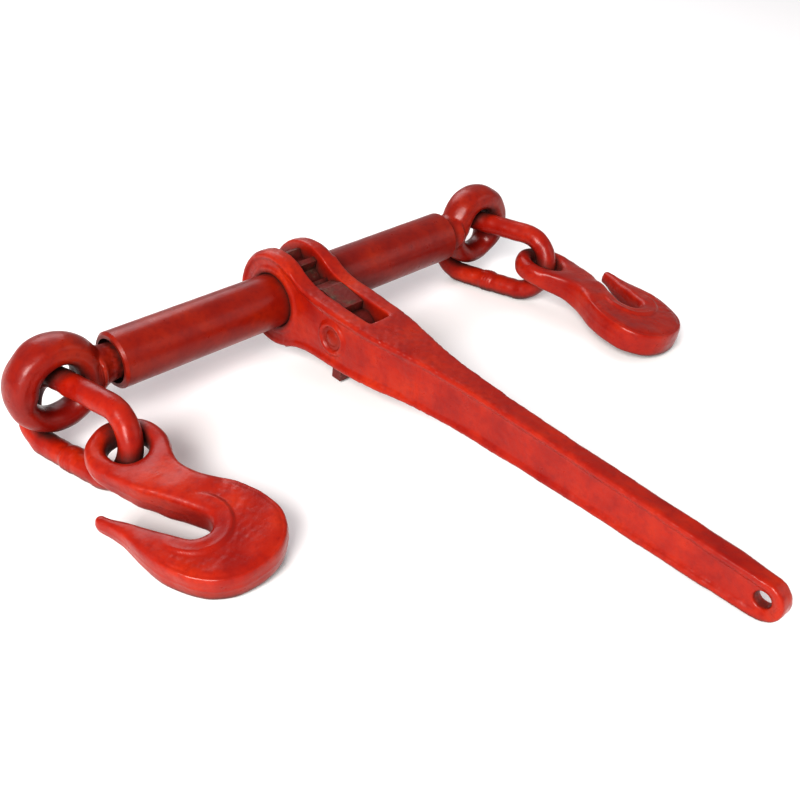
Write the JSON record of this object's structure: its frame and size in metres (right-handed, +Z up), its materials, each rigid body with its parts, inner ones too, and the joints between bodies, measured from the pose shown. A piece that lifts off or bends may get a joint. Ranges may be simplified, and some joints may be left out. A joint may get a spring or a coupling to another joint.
{
  "type": "load binder",
  "caption": "Ratchet load binder: handle and pawl turn a double-threaded barrel that draws in two ring eyes, each carrying a link and a grab hook.",
  "frame": {"origin": "middle of the bounding box's bottom face, on the surface that the binder lies on", "axes": "+X along the barrel towards the end with the left-hand thread, -Y along the handle towards its tip, +Z up"},
  "size_m": [0.402, 0.3612, 0.0701],
  "materials": {
    "red_enamel": "gloss enamel over forged steel, worn along the edges",
    "dark_steel": "oiled dark steel",
    "pin_steel": "worn plated steel",
    "screw_steel": "greased machined steel"
  },
  "bodies": {
    "handle": {"handle": "red_enamel", "pawl_pin": "red_enamel", "left_pawl_washer": "red_enamel", "right_pawl_washer": "red_enamel", "detent_spring": "pin_steel"},
    "barrel": {"barrel": "red_enamel", "ratchet_gear": "dark_steel", "front_gear_pin": "pin_steel", "rear_gear_pin": "pin_steel"},
    "pawl": {"pawl": "dark_steel"},
    "plunger": {"detent_plunger": "screw_steel"},
    "right_eye": {"right_eye_bolt": "red_enamel", "right_stop_pin": "screw_steel"},
    "left_eye": {"left_eye_bolt": "red_enamel", "left_stop_pin": "screw_steel"},
    "right_link": {"right_link": "red_enamel"},
    "left_link": {"left_link": "red_enamel"},
    "right_hook": {"right_hook": "red_enamel"},
    "left_hook": {"left_hook": "red_enamel"}
  },
  "joints": [
    {"name": "barrel_spin", "type": "hinge", "parent": "handle", "child": "barrel", "pos_m": [-0.00755, 0.15115, 0.04059], "axis": [1, 0, 0], "range_deg": [0, 5400]},
    {"name": "right_screw", "type": "slide", "parent": "handle", "child": "right_eye", "axis": [1, 0, 0], "range_m": [0, 0.09525]},
    {"name": "left_screw", "type": "slide", "parent": "handle", "child": "left_eye", "axis": [-1, 0, 0], "range_m": [0, 0.09525]},
    {"name": "pawl_pivot", "type": "hinge", "parent": "handle", "child": "pawl", "pos_m": [-0.00755, 0.09933, 0.03628], "axis": [1, 0, 0], "range_deg": [-14.7, 14.7]},
    {"name": "detent_push", "type": "slide", "parent": "handle", "child": "plunger", "axis": [0, 0.9966, 0.0828], "range_m": [0, 0.0012], "stiffness_N_per_m": 300, "springref_m": 0.0012},
    {"name": "left_link_swing", "type": "hinge", "parent": "left_eye", "child": "left_link", "pos_m": [-0.17172, 0.14986, 0.0254], "axis": [0.9526, 0.1339, -0.2732], "range_deg": [-10, 180]},
    {"name": "left_hook_swing", "type": "hinge", "parent": "left_link", "child": "left_hook", "pos_m": [-0.1637, 0.09282, 0.0254], "axis": [-0.1402, -0.1561, 0.9777], "range_deg": [-40, 40]},
    {"name": "right_link_swing", "type": "hinge", "parent": "right_eye", "child": "right_link", "pos_m": [0.14839, 0.14988, 0.0254], "axis": [0.9384, 0.2167, -0.2691], "range_deg": [-10, 180]},
    {"name": "right_hook_swing", "type": "hinge", "parent": "right_link", "child": "right_hook", "pos_m": [0.16166, 0.09239, 0.0254], "axis": [0.117, -0.1541, 0.9811], "range_deg": [-40, 40]}
  ],
  "couplings": [
    {"joint": "right_screw", "follows": "barrel_spin", "m_per_rad": 0.0010106},
    {"joint": "left_screw", "follows": "barrel_spin", "m_per_rad": 0.0010106}
  ]
}
